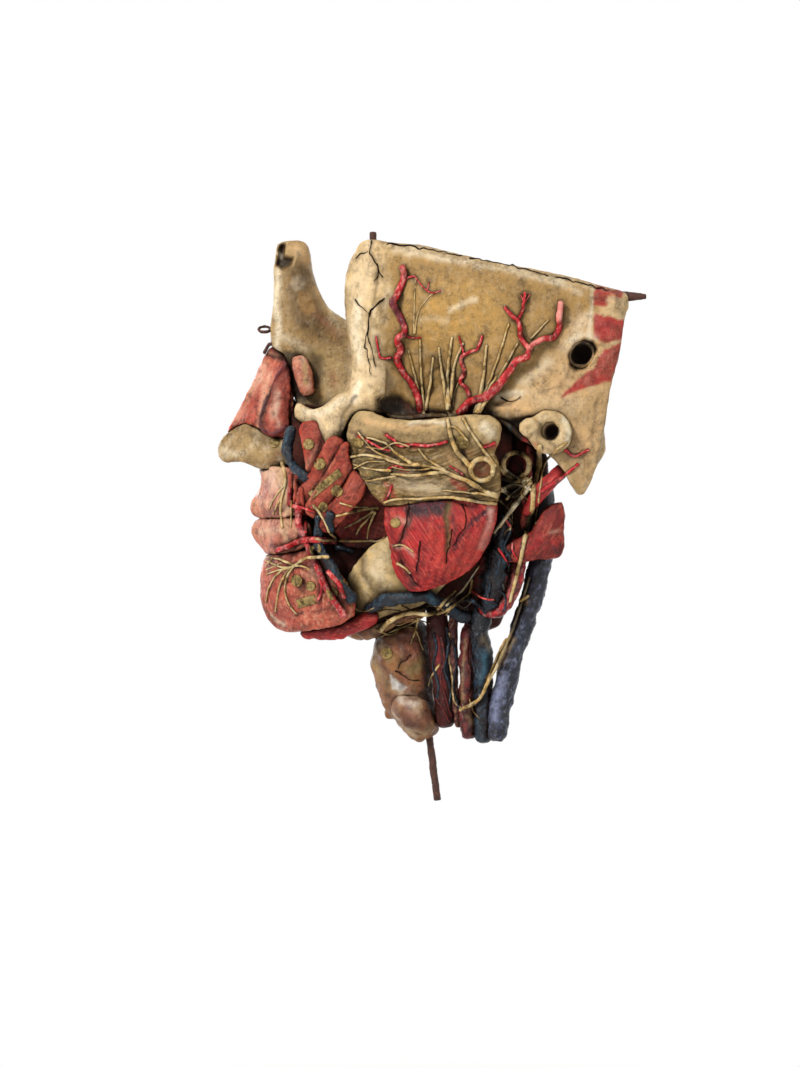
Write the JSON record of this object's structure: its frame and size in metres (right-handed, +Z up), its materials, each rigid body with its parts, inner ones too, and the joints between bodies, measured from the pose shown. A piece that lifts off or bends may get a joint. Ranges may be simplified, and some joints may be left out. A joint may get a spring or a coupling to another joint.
{
  "type": "anatomical head model",
  "caption": "Life-size half head and neck section with a flat medial side, layered muscles, vessels and nerves in relief, an open eye socket and a jaw block that lifts off.",
  "frame": {"origin": "on the neck rod's axis, where the rod leaves the underside of the neck", "axes": "+X from the face to the nape, +Y from the outer side to the flat medial side, +Z up"},
  "size_m": [0.1767, 0.0668, 0.2349],
  "materials": {
    "bone": "aged varnish over ochre and cream paint",
    "core": "dark brown glaze, satin",
    "muscle": "glossy varnish over red paint",
    "skin": "satin varnish over salmon paint",
    "cartilage": "satin varnish over grey-cream paint",
    "larynx": "glossy varnish over brown paint",
    "artery": "glossy varnish over red paint",
    "vein": "glossy varnish over dark blue paint",
    "nerve": "cream paint on thread, satin",
    "iron": "rusted"
  },
  "bodies": {
    "head_half": {"skull_wall": "bone", "forehead_and_orbit_wall": "bone", "brow_column": "bone", "cheek_bone": "bone", "ear_canal": "bone", "mandible": "bone", "face_core": "core", "deep_core": "core", "nasal_muscle": "muscle", "chin_muscle": "muscle", "buccinator": "muscle", "levator_strap": "muscle", "zygomatic_strap_1": "muscle", "zygomatic_strap_2": "muscle", "zygomatic_strap_3": "muscle", "nasal_flap": "muscle", "digastric_front": "muscle", "throat_muscle": "muscle", "digastric_rear": "muscle", "sternomastoid_stump": "muscle", "lacrimal_sac": "skin", "upper_lip": "skin", "lower_lip": "skin", "throat_strap": "skin", "nose_cartilage": "cartilage", "hyoid_bone": "cartilage", "larynx": "larynx", "thyroid_gland": "larynx", "common_carotid": "artery", "outer_carotid": "artery", "temporal_artery_front": "artery", "temporal_artery_rear": "artery", "facial_artery": "artery", "inner_jugular": "vein", "outer_jugular": "vein", "link_vein": "vein", "retromandibular_vein": "vein", "facial_vein_upper": "vein", "facial_vein_lower": "vein", "styloid_band": "nerve", "facial_nerve_trunk": "nerve", "hypoglossal_nerve": "nerve", "vagus_nerve": "nerve", "temporal_nerves_front": "nerve", "temporal_nerves_rear": "nerve", "buccal_nerve": "nerve", "chin_nerve": "nerve", "neck_rod": "iron", "top_peg": "iron", "rear_tang": "iron", "hook_eye": "iron", "nose_wire": "iron"},
    "masseter_block": {"block_peg_1": "iron", "block_peg_2": "iron", "block_backing": "core", "zygomatic_arch": "bone", "parotid_sheet": "bone", "masseter": "muscle", "facial_nerve_branches": "nerve", "transverse_artery": "artery"}
  },
  "joints": [
    {"name": "masseter_block_lift", "type": "slide", "parent": "head_half", "child": "masseter_block", "axis": [0, -1, 0], "range_m": [0, 0.06]}
  ]
}
